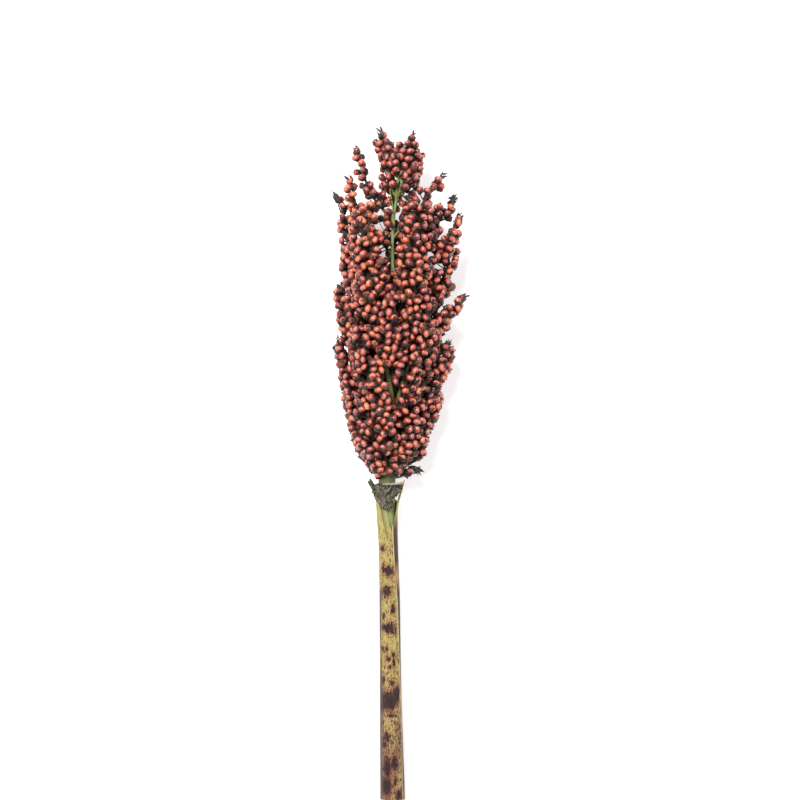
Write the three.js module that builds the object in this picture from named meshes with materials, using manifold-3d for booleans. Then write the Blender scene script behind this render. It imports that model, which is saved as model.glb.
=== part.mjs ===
// A cut sorghum seed head, laid on its side on a flat surface.
//
// The stalk runs from its cut end, through the rolled sheath of its last leaf, up the middle of the
// head, where it thins to a rachis. Branches leave the rachis low down, bow outwards and rise to the
// outline of the head, and each one is clothed in round grains. The dried stub of the leaf lies
// across the mouth of the sheath.
//
// The plant is drawn in its own frame, in millimetres: +Y along the stalk from the cut end to the
// top, +X to the side and +Z away from the surface that it lies on. The last lines tip it to the
// slope at which the head and the cut end both touch that surface.
import * as THREE from "three";
import { mergeVertices } from "three/addons/utils/BufferGeometryUtils.js";
import Module from "manifold-3d";

const wasm = await Module();
wasm.setup();

// Driving dimensions
const REST_SLOPE_DEG = 4.7; // the head is thicker than the stalk, so the stalk slopes as it lies
const AXIS_HEIGHT = 5.8; // of the stalk's axis above the surface, at the cut end
const PRESSED_FLAT = 0.6; // how deep the lowest points are flattened by the surface
const GAP = 0.34; // left between two neighbouring pieces
const STALK_TOP = 352;
const STALK_SIDES = 10;
const SHEATH_WALL = 0.8;
const SHEATH_OVERLAP_DEG = 40;
const HEAD_BASE = 179; // height on the stalk of the lowest branches
const GRAIN_ROWS = 8.6; // drawn larger than life, so that fewer grains still cover the head
const GRAIN_RISE = 2.8; // how far a grain stands out of its branch

// Side drift of the stalk's axis: [height, side]
const LEAN = [
  [0, 0.3],
  [80, -1.4],
  [130, -2.1],
  [165, -2.9],
  [200, -1.6],
  [236, 1.0],
  [291, 1.6],
  [330, 2.4],
  [342, 4.2],
  [352, 5.0],
];

// Radius of the stalk: [height, radius]
const STALK_RADIUS = [
  [0, 5.0],
  [60, 4.7],
  [130, 4.4],
  [160, 4.6],
  [180, 4.6],
  [200, 3.9],
  [236, 2.7],
  [291, 1.6],
  [330, 1.2],
  [352, 0.7],
];

// Half width of the head's outline: [height, radius]
const HEAD_RADIUS = [
  [178, 9],
  [186, 15],
  [198, 22],
  [220, 27],
  [245, 31.5],
  [275, 34.5],
  [308, 34],
  [330, 31],
  [342, 26],
  [353, 18],
  [366, 9],
];
const HEAD_DEPTH_RATIO = 0.92; // the head is a little thinner than it is wide

// Branches whose tips make the outline: [height of the tip, side, depth]
const SIDE_TIPS = [
  [358.6, -19.3, 1],
  [341.5, -23.0, 7],
  [333.3, -30.3, -3],
  [311.9, -30.8, 3],
  [282.7, -33.0, 0],
  [255.2, -33.5, 3],
  [230.5, -28.6, -2],
  [208.5, -25.0, 4],
  [187.0, -15.5, 1],
  [343.8, 27.5, 2],
  [331.1, 34.1, -5],
  [321.0, 37.5, 5],
  [305.5, 38.0, -4],
  [277.8, 40.7, 5],
  [251.4, 35.2, 1],
  [228.8, 29.7, -3],
  [208.5, 24.8, 3],
  [184.0, 17.5, 2],
];

// Short branches round the very top: [height of the tip, side, depth, height of the root]
const CROWN_TIPS = [
  [368.5, -5.0, 1, 322],
  [366.0, 9.5, 5, 326],
  [358.0, 18.0, -3, 324],
  [357.0, 2.0, 11, 326],
  [361.0, 3.5, -10, 324],
];

// Branches on the front of the head: [height of the tip, azimuth in degrees, 90 facing up].
// The back repeats them a little lower, turned half round the stalk. The middle of the front
// stays open above 290, where the bare rachis shows.
const FACE_TIPS = [
  [190, 72],
  [192, 118],
  [205, 40],
  [207, 140],
  [214, 96],
  [223, 46],
  [227, 134],
  [244, 106],
  [248, 68],
  [262, 134],
  [268, 42],
  [279, 90],
  [293, 124],
  [301, 58],
  [320, 136],
  [329, 44],
];

const radians = THREE.MathUtils.degToRad;
const slope = radians(REST_SLOPE_DEG);

// The value at a place along a smooth curve through [place, value] stops
function along(stops, place) {
  const last = stops.length - 1;
  if (place <= stops[0][0]) return stops[0][1];
  if (place >= stops[last][0]) return stops[last][1];
  const i = stops.findIndex((stop) => stop[0] > place) - 1;
  const steepness = (k) => {
    const [x0, y0] = stops[Math.max(k - 1, 0)];
    const [x1, y1] = stops[Math.min(k + 1, last)];
    return (y1 - y0) / (x1 - x0);
  };
  const [x0, y0] = stops[i];
  const [x1, y1] = stops[i + 1];
  const span = x1 - x0;
  const t = (place - x0) / span;
  const ease = t * t * (3 - 2 * t);
  return (
    y0 * (1 - ease) +
    y1 * ease +
    steepness(i) * span * t * (1 - t) * (1 - t) -
    steepness(i + 1) * span * t * t * (1 - t)
  );
}

// The point at a radius and an azimuth round the stalk's axis
function aroundAxis(height, radius, azimuthDeg) {
  const a = radians(azimuthDeg);
  return new THREE.Vector3(along(LEAN, height) + radius * Math.cos(a), height, radius * Math.sin(a));
}

// Lowest depth that lies clear of the surface by the margin, at a height on the stalk
function lowestDepth(height, margin) {
  return (margin - AXIS_HEIGHT - height * Math.sin(slope)) / Math.cos(slope);
}

// Geometry to solid and back
function solidOf(geometry, joinedWithin = 1e-4) {
  const bare = geometry.clone();
  bare.deleteAttribute("normal");
  bare.deleteAttribute("uv");
  const merged = mergeVertices(bare, joinedWithin);
  return new wasm.Manifold(
    new wasm.Mesh({
      numProp: 3,
      vertProperties: merged.attributes.position.array,
      triVerts: new Uint32Array(merged.index.array),
    }),
  );
}

function geometryOf(solid) {
  const made = solid.getMesh();
  const geometry = new THREE.BufferGeometry();
  geometry.setAttribute("position", new THREE.BufferAttribute(made.vertProperties, 3));
  geometry.setIndex(new THREE.BufferAttribute(made.triVerts, 1));
  geometry.computeVertexNormals();
  return geometry;
}

function largestBody(solid) {
  return solid.decompose().reduce((best, body) => (body.volume() > best.volume() ? body : best));
}

const SLIVER = 0.02;

// The main body of a cut solid, with the slivers along the cut closed up
function cleaned(solid) {
  return largestBody(solidOf(geometryOf(largestBody(solid)), SLIVER));
}

// A closed skin over rings of points that all have the same number of points
function skinOver(rings) {
  const count = rings[0].length;
  const points = rings.flat();
  const faces = [];
  for (let j = 0; j + 1 < rings.length; j++) {
    for (let i = 0; i < count; i++) {
      const a = j * count + i;
      const b = j * count + ((i + 1) % count);
      faces.push(a, b, b + count, a, b + count, a + count);
    }
  }
  const flat = points.flatMap((p) => [p.x, p.y, p.z]);
  return { flat, faces, count };
}

function closedGeometry(flat, faces) {
  const geometry = new THREE.BufferGeometry();
  geometry.setAttribute("position", new THREE.BufferAttribute(new Float32Array(flat), 3));
  geometry.setIndex(faces);
  return geometry;
}

// A round rod through points, with a radius at each one
function taperedRod(points, radii, sides) {
  const curve = new THREE.CatmullRomCurve3(points);
  const frames = curve.computeFrenetFrames(points.length - 1, false);
  const rings = points.map((point, j) =>
    Array.from({ length: sides }, (_, i) => {
      const a = (i * 2 * Math.PI) / sides;
      return point
        .clone()
        .addScaledVector(frames.normals[j], radii[j] * Math.cos(a))
        .addScaledVector(frames.binormals[j], radii[j] * Math.sin(a));
    }),
  );
  const { flat, faces, count } = skinOver(rings);
  const top = (rings.length - 1) * count;
  for (let i = 1; i + 1 < count; i++) {
    faces.push(0, i + 1, i);
    faces.push(top, top + i, top + i + 1);
  }
  return closedGeometry(flat, faces);
}

// The stalk: a lathe profile, bent to the lean of the axis
function stalkSolid(grow = 0) {
  const heights = [0, 60, 130, 165, 182, 200, 218, 240, 270, 300, 330, 342, STALK_TOP];
  const profile = heights.map((h) => new THREE.Vector2(along(STALK_RADIUS, h) + grow, h));
  profile[0].y -= grow;
  profile.unshift(new THREE.Vector2(0, -grow));
  profile.push(new THREE.Vector2(0, STALK_TOP + grow));
  const geometry = new THREE.LatheGeometry(profile, STALK_SIDES);
  const position = geometry.attributes.position;
  for (let i = 0; i < position.count; i++) {
    position.setX(i, position.getX(i) + along(LEAN, position.getY(i)));
  }
  return solidOf(geometry);
}

// The leaf sheath: a sheet rolled round the stalk until it overlaps itself
const SHEATH_MARGIN_DEG = [
  [0, 14],
  [45, 20],
  [110, 38],
  [140, 52],
  [170, 56],
]; // azimuth of the free edge
const SHEATH_TOP = [
  [0, 163],
  [60, 162],
  [110, 161],
  [180, 169],
  [270, 166],
  [360, 163],
]; // height of the mouth by azimuth
const SHEATH_FLARE = [
  [0, 1.3],
  [40, 0.7],
  [90, 0.1],
  [145, 0.0],
  [170, 0.9],
]; // how far the sheet stands off
const SHEATH_STEPS = 14;
const SHEATH_LEVELS = [0, 0.28, 0.56, 0.8, 0.91, 1]; // shares of the height
const SHEATH_LENGTH = 166; // on average round its mouth

const TONGUES_FROM = 145; // above this height the mouth stands off all the way round
const OVERLAP_SETTLED_DEG = 115; // the lapped edge lies back on the stalk by this much wrap
const BULGE_AZIMUTH_DEG = -8; // lower down, the sheet stands off mostly on this side

function sheathRadius(height, wrapDeg, azimuthDeg) {
  const climb = 1 - THREE.MathUtils.smoothstep(wrapDeg, SHEATH_OVERLAP_DEG + 10, OVERLAP_SETTLED_DEG);
  const sideways = Math.max(0, Math.cos(radians(azimuthDeg - BULGE_AZIMUTH_DEG))) ** 2;
  const standing = height > TONGUES_FROM ? 1 : sideways;
  return (
    along(STALK_RADIUS, height) + GAP + climb * (SHEATH_WALL + GAP) + along(SHEATH_FLARE, height) * standing
  );
}

function sheathSolid(grow = 0) {
  const wrap = 360 + SHEATH_OVERLAP_DEG;
  const rings = SHEATH_LEVELS.map((level) => {
    const outer = [];
    const inner = [];
    for (let i = 0; i <= SHEATH_STEPS; i++) {
      const wrapDeg = (wrap * i) / SHEATH_STEPS;
      const azimuth = along(SHEATH_MARGIN_DEG, level * SHEATH_LENGTH) + wrapDeg;
      const height = level * along(SHEATH_TOP, azimuth % 360);
      const shown = height + (level === 0 ? -grow : level === 1 ? grow : 0);
      const radius = sheathRadius(height, wrapDeg, azimuth);
      outer.push(aroundAxis(shown, radius + SHEATH_WALL + grow, azimuth));
      inner.unshift(aroundAxis(shown, radius - grow, azimuth));
    }
    return [...outer, ...inner];
  });
  const { flat, faces, count } = skinOver(rings);
  const top = (rings.length - 1) * count;
  for (let i = 0; i < SHEATH_STEPS; i++) {
    const back = count - 1 - i;
    faces.push(i, back, i + 1, i + 1, back, back - 1);
    faces.push(top + i, top + i + 1, top + back, top + i + 1, top + back - 1, top + back);
  }
  faces.reverse();
  let sheath = solidOf(closedGeometry(flat, faces));
  if (grow > 0) return sheath.add(strandSolid(grow));
  for (const slit of SHEATH_SLITS) sheath = sheath.subtract(slitSolid(slit));
  return largestBody(sheath.add(strandSolid()));
}

// Slits that split the mouth of the sheath into tongues: three corners as [side, height]
const SHEATH_SLITS = [
  [
    [-1.9, 143],
    [-6.2, 172],
    [-3.4, 172],
  ],
  [
    [0.2, 145],
    [-2.6, 172],
    [2.4, 172],
  ],
];

function slitSolid(corners) {
  const outline = new THREE.Shape(corners.map(([side, height]) => new THREE.Vector2(side, height)));
  return solidOf(new THREE.ExtrudeGeometry(outline, { depth: 12, bevelEnabled: false }).translate(0, 0, 1));
}

// A fibre of the sheath that still ties its right tongue to the leaf stub
function strandSolid(grow = 0) {
  const points = [
    aroundAxis(152, 5.9, 20),
    aroundAxis(161, 6.9, 18),
    aroundAxis(168, 8.6, 16),
    aroundAxis(175.5, 10.2, 14),
  ];
  return solidOf(taperedRod(points, [0.5, 0.9, 0.8, 0.6].map((r) => r + grow), 5));
}

// The stub of the flag leaf: a dried, ribbed plate across the mouth of the sheath
const STUB_WALL = 0.9;
const STUB_LEFT_DEG = 186;
const STUB_RIGHT_DEG = 30;
const STUB_RADIUS = [
  [30, 8.9],
  [60, 8.0],
  [100, 7.3],
  [150, 7.2],
  [186, 7.2],
];
const STUB_FOOT = [
  [30, 167.5],
  [48, 166.5],
  [62, 160.5],
  [98, 159.0],
  [140, 162.5],
  [186, 165.0],
];
const STUB_HEAD = [
  [30, 172.5],
  [60, 173.6],
  [120, 173.4],
  [160, 172.0],
  [186, 170.5],
];
const STUB_STEPS = 12;
const STUB_RIB = 0.22;

function stubSolid() {
  const levels = [0, 0.5, 1];
  const rings = levels.map((level) => {
    const outer = [];
    const inner = [];
    for (let i = 0; i <= STUB_STEPS; i++) {
      const azimuth = STUB_RIGHT_DEG + ((STUB_LEFT_DEG - STUB_RIGHT_DEG) * i) / STUB_STEPS;
      const height = along(STUB_FOOT, azimuth) * (1 - level) + along(STUB_HEAD, azimuth) * level;
      const rib = i % 2 ? STUB_RIB : 0;
      const radius = along(STUB_RADIUS, azimuth) + rib;
      outer.push(aroundAxis(height, radius + STUB_WALL, azimuth));
      inner.unshift(aroundAxis(height, radius, azimuth));
    }
    return [...outer, ...inner];
  });
  const { flat, faces, count } = skinOver(rings);
  const top = (rings.length - 1) * count;
  for (let i = 0; i < STUB_STEPS; i++) {
    const back = count - 1 - i;
    faces.push(i, back, i + 1, i + 1, back, back - 1);
    faces.push(top + i, top + i + 1, top + back, top + i + 1, top + back - 1, top + back);
  }
  faces.reverse();
  return solidOf(closedGeometry(flat, faces)).add(scrapSolid());
}

// A torn corner of the stub that stands out to the left
function scrapSolid() {
  const points = [
    aroundAxis(167.5, 7.6, 176),
    aroundAxis(171.5, 9.6, 172),
    aroundAxis(175.0, 12.4, 170),
    aroundAxis(177.0, 13.0, 168),
  ];
  return solidOf(taperedRod(points, [0.8, 1.0, 1.3, 0.5], 5));
}

// The branches
const FULLNESS = [
  [184, 0.5],
  [195, 0.62],
  [210, 0.8],
  [232, 0.93],
  [300, 0.93],
  [332, 0.7],
  [346, 0.6],
  [356, 0.64],
]; // how wide a branch spreads, by the height of its tip

// The lowest branches leave the stalk at the base of the head, and the higher a tip is, the
// faster the place of its root climbs
const ROOT_CLIMB = 0.0064;
const ROOT_CLIMB_POWER = 1.9;
const LOWEST_TIP = 183;
const BACK_LOWER = 4;

function rootHeight(tipHeight) {
  return HEAD_BASE + ROOT_CLIMB * Math.max(0, tipHeight - LOWEST_TIP) ** ROOT_CLIMB_POWER;
}

function sideBranch([height, side, depth, root = rootHeight(height)]) {
  const across = side - along(LEAN, height);
  return {
    root,
    tip: height,
    reach: Math.hypot(across, depth),
    azimuth: (Math.atan2(depth, across) * 180) / Math.PI,
    fullness: along(FULLNESS, height),
  };
}

function faceBranch([height, azimuth]) {
  return {
    root: rootHeight(height),
    tip: height,
    reach: along(HEAD_RADIUS, height) * HEAD_DEPTH_RATIO,
    azimuth,
    fullness: along(FULLNESS, height),
  };
}

// From the highest tip down, because each branch gives way to those before it, and the long
// stems of the high ones run between the low ones
const BRANCHES = [
  ...SIDE_TIPS.map(sideBranch),
  ...CROWN_TIPS.map(sideBranch),
  ...FACE_TIPS.map(faceBranch),
  ...FACE_TIPS.map(([height, azimuth]) => faceBranch([height - BACK_LOWER, azimuth + 180])),
].sort((a, b) => b.tip - a.tip);

// The middle line of a branch: out from the rachis, then up under the outline
const BOW = 2.1;
const OUTLINE_INSET = GRAIN_RISE + 0.5; // because the grains stand out past the line
const ROOT_SINK = 0.6; // how deep a root starts in the stalk, before it is cut back
const BELOW_SHARE = 0.8; // of the core's half depth that lies below the line where it rests

function branchPoint(branch, t) {
  const height = branch.root + (branch.tip - OUTLINE_INSET - branch.root) * t;
  const start = along(STALK_RADIUS, branch.root) - ROOT_SINK;
  const end = branch.reach - OUTLINE_INSET - along(CORE_DEPTH, t) * branch.fullness;
  const point = aroundAxis(height, start + (end - start) * (1 - (1 - t) ** BOW), branch.azimuth);
  const clearance = GRAIN_RISE + along(CORE_DEPTH, t) * branch.fullness * BELOW_SHARE;
  point.z = Math.max(point.z, lowestDepth(height, clearance));
  return point;
}

// Its directions at a place: onwards, away from the rachis, and across
function branchFrame(branch, t) {
  const middle = branchPoint(branch, t);
  const before = branchPoint(branch, Math.max(t - 0.05, 0));
  const onwards = branchPoint(branch, Math.min(t + 0.05, 1)).sub(before).normalize();
  const a = radians(branch.azimuth);
  const sidewards = new THREE.Vector3(-Math.sin(a), 0, Math.cos(a));
  const outward = new THREE.Vector3().crossVectors(onwards, sidewards).normalize();
  const across = new THREE.Vector3().crossVectors(outward, onwards);
  return { middle, onwards, outward, across };
}

// The core that the grains of a branch stand out of: a flattened club, slim at its root.
// Half its width and half its depth, by the place on the branch.
const CORE_WIDTH = [
  [0, 1.3],
  [0.34, 1.6],
  [0.55, 6.8],
  [0.82, 7.9],
  [1, 3.6],
];
const CORE_DEPTH = [
  [0, 1.3],
  [0.34, 1.5],
  [0.55, 4.2],
  [0.85, 4.4],
  [1, 2.8],
];
const STEM_PLACES = [0, 0.3];
const CLOTHED_FROM = 0.44;
const ROW_OFFSET = 0.35; // of the first row of grains from there, in rows
const HIDDEN_BEYOND_DEG = 105; // the side that faces the rachis stays plain
const GRAIN_LEAN = 0.25; // how much the grains lean towards the tip
const TIP_SETBACK = -1.6; // of the grain on the tip, from the end of the middle line
const FOOT_SETBACK = -0.5; // and of the closing point at its root
const DOME_EDGE = 0.62; // where the round top of a grain meets its steep side
const RIM_RISE = 0.74; // and how high, as a share of the grain's own rise

const SLENDER = 0.6; // a branch of at most this fullness has three grains in a row
const FULL = 0.85; // and one above this has five

// The grains of a branch, raised from its core: they stand in rows across it, each row shifted by
// half a grain. The middles of the grains make a net of triangles, and the hollows between the
// grains are the middles of those triangles.
function branchNet(branch) {
  const inRow = 3 + (branch.fullness > SLENDER) + (branch.fullness > FULL);
  const length = branchPoint(branch, 1).distanceTo(branchPoint(branch, CLOTHED_FROM));
  const rowCount = Math.max(2, Math.round(length / GRAIN_ROWS));
  const clothed = Array.from({ length: rowCount }, (_, i) => {
    return CLOTHED_FROM + ((1 - CLOTHED_FROM) * (i + ROW_OFFSET)) / rowCount;
  });
  const nodes = [];
  const addNode = (foot, pointing, isGrain) => {
    foot.z = Math.max(foot.z, lowestDepth(foot.y, GRAIN_RISE - PRESSED_FLAT));
    nodes.push({ foot, pointing, isGrain });
  };
  const rows = [...STEM_PLACES, ...clothed];
  rows.forEach((t, row) => {
    const { middle, onwards, outward, across } = branchFrame(branch, t);
    const isClothed = t >= CLOTHED_FROM;
    const width = along(CORE_WIDTH, t) * (isClothed ? branch.fullness : 1);
    const depth = along(CORE_DEPTH, t) * (isClothed ? Math.sqrt(branch.fullness) : 1);
    for (let k = 0; k < inRow; k++) {
      const angle = (((k + (row % 2) / 2) * 360) / inRow) % 360;
      const sine = Math.sin(radians(angle));
      const cosine = Math.cos(radians(angle));
      const foot = middle.clone();
      foot.addScaledVector(across, width * sine).addScaledVector(outward, depth * cosine);
      const pointing = new THREE.Vector3()
        .addScaledVector(across, depth * sine)
        .addScaledVector(outward, width * cosine)
        .normalize()
        .addScaledVector(onwards, GRAIN_LEAN)
        .normalize();
      addNode(foot, pointing, isClothed && cosine > Math.cos(radians(HIDDEN_BEYOND_DEG)));
    }
  });
  const start = branchFrame(branch, 0);
  const end = branchFrame(branch, 1);
  addNode(start.middle.clone().addScaledVector(start.onwards, FOOT_SETBACK), start.onwards, false);
  addNode(end.middle.clone().addScaledVector(end.onwards, TIP_SETBACK), end.onwards, true);

  const triangles = [];
  const at = (row, k) => row * inRow + (k % inRow);
  for (let row = 0; row + 1 < rows.length; row++) {
    for (let k = 0; k < inRow; k++) {
      const above = k + (row % 2);
      triangles.push([at(row, k + 1), at(row, k), at(row + 1, above)]);
      triangles.push([at(row + 1, above + 1), at(row, k + 1), at(row + 1, above)]);
    }
  }
  const foot = nodes.length - 2;
  const tip = nodes.length - 1;
  for (let k = 0; k < inRow; k++) {
    triangles.push([foot, at(0, k), at(0, k + 1)]);
    triangles.push([at(rows.length - 1, k + 1), at(rows.length - 1, k), tip]);
  }
  return { nodes, triangles };
}

function branchSolid({ nodes, triangles }) {
  const corners = [];
  const faces = [];
  const addCorner = (point) => corners.push(point) - 1;
  const tops = nodes.map(({ foot, pointing, isGrain }) =>
    addCorner(foot.clone().addScaledVector(pointing, isGrain ? GRAIN_RISE : 0)),
  );
  const hollows = triangles.map((triangle) => {
    const hollow = new THREE.Vector3();
    for (const n of triangle) hollow.addScaledVector(nodes[n].foot, 1 / 3);
    return { hollow, corner: addCorner(hollow) };
  });
  const leftOf = new Map();
  triangles.forEach(([a, b, c], index) => {
    leftOf.set(`${a}>${b}`, index);
    leftOf.set(`${b}>${c}`, index);
    leftOf.set(`${c}>${a}`, index);
  });
  const rims = new Map();
  const rimOf = (n, index) => {
    const key = `${n}:${index}`;
    if (!rims.has(key)) {
      const { foot, pointing } = nodes[n];
      const rim = foot.clone().lerp(hollows[index].hollow, DOME_EDGE);
      rims.set(key, addCorner(rim.addScaledVector(pointing, GRAIN_RISE * RIM_RISE)));
    }
    return rims.get(key);
  };
  for (const [edge, left] of leftOf) {
    const [a, b] = edge.split(">").map(Number);
    const right = leftOf.get(`${b}>${a}`);
    if (nodes[a].isGrain) {
      const leftRim = rimOf(a, left);
      const rightRim = rimOf(a, right);
      faces.push(tops[a], rightRim, leftRim);
      faces.push(rightRim, hollows[right].corner, hollows[left].corner);
      faces.push(rightRim, hollows[left].corner, leftRim);
    } else {
      faces.push(tops[a], hollows[right].corner, hollows[left].corner);
    }
  }
  return solidOf(closedGeometry(corners.flatMap((p) => [p.x, p.y, p.z]), faces));
}

// The room that a branch takes up: its net, drawn clear of the tops of the grains
const ROOM_MARGIN = 1.1;

function roomSolid({ nodes, triangles }) {
  const corners = nodes.map(({ foot, pointing, isGrain }) => {
    return foot.clone().addScaledVector(pointing, (isGrain ? GRAIN_RISE : 0) + ROOM_MARGIN);
  });
  return solidOf(closedGeometry(corners.flatMap((p) => [p.x, p.y, p.z]), triangles.flat()));
}

// The flat surface, as a block below the plant
function surfaceBlock() {
  const block = new THREE.BoxGeometry(400, 900, 60).translate(0, 200, -30 - AXIS_HEIGHT);
  return solidOf(block.rotateX(-slope));
}

// Build the pieces, each one cut back from its neighbours by the gap
const surface = surfaceBlock();
const stalk = stalkSolid();
const sheath = sheathSolid();
const stub = largestBody(stubSolid().subtract(stalkSolid(GAP)).subtract(sheathSolid(GAP)));
const nets = BRANCHES.map(branchNet);
const heldBack = [stalkSolid(GAP)];
const branchSolids = nets.map((net) => {
  const whole = branchSolid(net);
  const cut = heldBack.reduce((left, other) => left.subtract(other), whole);
  heldBack.push(roomSolid(net));
  return cleaned(cut.subtract(surface));
});

// Materials
const grainFinish = new THREE.MeshStandardMaterial({ color: 0xb5442e, roughness: 0.38, metalness: 0 });
const stalkFinish = new THREE.MeshStandardMaterial({ color: 0x7f9150, roughness: 0.6, metalness: 0 });
const sheathFinish = new THREE.MeshStandardMaterial({ color: 0xc9b45f, roughness: 0.62, metalness: 0 });
const stubFinish = new THREE.MeshStandardMaterial({ color: 0x4a443d, roughness: 0.85, metalness: 0 });

// The seed head, lying on the surface with the middle of its footprint at the origin
const plant = new THREE.Group();

function addPiece(name, solid, finish) {
  const piece = new THREE.Mesh(geometryOf(solid), finish);
  piece.name = name;
  plant.add(piece);
}

addPiece("stalk", stalk.subtract(surface), stalkFinish);
addPiece("leaf_sheath", largestBody(sheath.subtract(surface)), sheathFinish);
addPiece("flag_leaf_stub", stub, stubFinish);
branchSolids.forEach((solid, i) => {
  addPiece("seed_branch_" + String(i + 1).padStart(2, "0"), solid, grainFinish);
});

plant.rotation.x = slope;
const seedHead = new THREE.Group();
seedHead.add(plant);
const bounds = new THREE.Box3().setFromObject(seedHead, true);
const middle = bounds.getCenter(new THREE.Vector3());
seedHead.position.set(-middle.x, -middle.y, -bounds.min.z);

export default seedHead;
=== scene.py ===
"""The looks of a cut sorghum seed head that lies on its side.

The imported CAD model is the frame. Its branches, stalk, sheath and leaf stub are each replaced by a
finer piece of the same form. Lengths are in millimetres in the plant's own frame, as in the CAD
source: the height runs along the stalk from the cut end, the side to its right as it is seen from
above, and the depth away from the surface. at() turns such a place into the frame, in metres.
"""
import math

import bmesh
import bpy
from mathutils import Matrix, Vector
from mathutils.kdtree import KDTree


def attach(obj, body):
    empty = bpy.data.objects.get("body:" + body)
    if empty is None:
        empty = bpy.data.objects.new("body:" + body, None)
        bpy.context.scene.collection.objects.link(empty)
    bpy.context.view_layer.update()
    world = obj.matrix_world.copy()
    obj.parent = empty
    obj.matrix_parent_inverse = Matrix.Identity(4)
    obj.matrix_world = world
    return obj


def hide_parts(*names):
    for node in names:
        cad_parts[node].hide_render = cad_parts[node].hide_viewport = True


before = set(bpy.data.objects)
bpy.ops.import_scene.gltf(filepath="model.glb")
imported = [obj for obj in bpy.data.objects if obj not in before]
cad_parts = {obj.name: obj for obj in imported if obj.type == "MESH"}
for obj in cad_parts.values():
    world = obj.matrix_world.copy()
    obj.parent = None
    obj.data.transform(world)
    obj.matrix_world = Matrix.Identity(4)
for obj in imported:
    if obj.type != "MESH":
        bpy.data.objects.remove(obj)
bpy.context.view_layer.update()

# Driving dimensions. They are the CAD source's, but for the sheath's gap and wall, the rachis, the
# lean and the slim tips, which are finer here or stand a little further out.
REST_SLOPE = math.radians(4.7)
ORIGIN_SHIFT = Vector((-3.369, -182.27, 5.8))
STALK_TOP = 352
HEAD_BASE = 179
SHEATH_GAP = 0.15
SHEATH_WALL = 0.55
SHEATH_OVERLAP = 40
HEAD_DEPTH_RATIO = 0.92

# Side drift of the stalk's axis, its radius, and the half width of the head: (height, value)
LEAN = [
    (0, 0.3), (80, -1.4), (130, -2.1), (165, -2.9), (200, -1.6), (236, 0.6), (291, 0.5), (306, 0.2),
    (323, 1.3), (342, 4.4), (352, 5)]
STALK_RADIUS = [
    (0, 5), (60, 4.7), (130, 4.4), (160, 4.6), (180, 4.6), (200, 3.9), (236, 2.5), (265, 1.6),
    (291, 1.05), (320, 0.8), (352, 0.5)]
HEAD_RADIUS = [
    (178, 9), (186, 15), (198, 22), (220, 27), (245, 31.5), (275, 34.5), (308, 34), (330, 31), (342, 26),
    (353, 18), (366, 9)]

# Tips of the branches: (height, side, depth), then for the slim ones the height of the root, how
# strongly the branch bows, and how wide it spreads
LEFT_TIPS = [
    (358.6, -23.4, 1, 318, 1.7, 0.4), (341.5, -27, 7, 300, 1.4, 0.5), (333.3, -34.3, -3, 285, 1.5, 0.55),
    (311.9, -30.8, 3), (282.7, -33, 0, 225, 2, 0.75), (255.2, -33.5, 3), (230.5, -28.6, -2),
    (208.5, -25, 4), (187, -15.5, 1)]
RIGHT_TIPS = [
    (343.8, 31.5, 2, 309, 1.25, 0.45), (331.1, 38, 1, 290, 1.4, 0.55), (321, 41.5, 5, 275, 1.6, 0.65),
    (305.5, 38, -4), (277.8, 43, 5, 235, 1.05, 0.6), (251.4, 35.2, 1, 205, 1.6, 0.8), (228.8, 29.7, -3),
    (208.5, 24.8, 3), (184, 17.5, 2)]
CROWN_TIPS = [
    (368.5, -11, 1, 334, 1.5, 0.5), (366, 15, 5, 334, 1.5, 0.62), (358, 18, -3, 331, 1.7, 0.7),
    (357, 2, 11, 330, 1.7, 0.8), (361, 3.5, -10, 330, 1.7, 0.8)]
# More slim ones there that have no solid of their own
CROWN_FILLERS = [
    (350, -7.5, 2, 331, 1.6, 0.6), (348.5, 17.5, 3, 332, 1.6, 0.6), (353, 10, 9, 331, 1.6, 0.7)]
# And of those on the front: (height, azimuth). The back repeats them lower, half a turn round.
FACE_TIPS = [
    (190, 72), (192, 118), (205, 40), (207, 140), (214, 96), (223, 46), (227, 134), (244, 106), (248, 68),
    (262, 134), (268, 42), (279, 90), (293, 124), (301, 58), (320, 136), (329, 44)]
BACK_LOWER = 4
# How full a branch is by the height of its tip, and its half sizes from its root (0) to its tip (1)
FULLNESS = [
    (184, 0.5), (195, 0.62), (210, 0.8), (232, 0.93), (300, 0.93), (332, 0.7), (346, 0.6), (356, 0.64)]
CORE_WIDTH = [(0, 1.3), (0.34, 1.6), (0.55, 6.8), (0.82, 7.9), (1, 3.6)]
CORE_DEPTH = [(0, 1.3), (0.34, 1.5), (0.55, 4.2), (0.85, 4.4), (1, 2.8)]
GRAIN_RISE = 2.8
OUTLINE_INSET = GRAIN_RISE + 0.5  # because the grains stand out past the line
BOW = 2.1
ROOT_SINK = 0.6  # how deep a root starts in the stalk
LOWEST_TIP = 183
ROOT_CLIMB = 0.0064
ROOT_CLIMB_POWER = 1.9
BELOW_SHARE = 0.8  # of the half depth that lies below the line where it rests


def along(stops, place):
    """The value at a place along a smooth curve through (place, value) stops"""
    last = len(stops) - 1
    if place <= stops[0][0]:
        return stops[0][1]
    if place >= stops[last][0]:
        return stops[last][1]
    i = next(k for k, stop in enumerate(stops) if stop[0] > place) - 1

    def steepness(k):
        x0, y0 = stops[max(k - 1, 0)]
        x1, y1 = stops[min(k + 1, last)]
        return (y1 - y0) / (x1 - x0)

    (x0, y0), (x1, y1) = stops[i], stops[i + 1]
    span = x1 - x0
    t = (place - x0) / span
    ease = t * t * (3 - 2 * t)
    return (y0 * (1 - ease) + y1 * ease + steepness(i) * span * t * (1 - t) ** 2
            - steepness(i + 1) * span * t * t * (1 - t))


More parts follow.
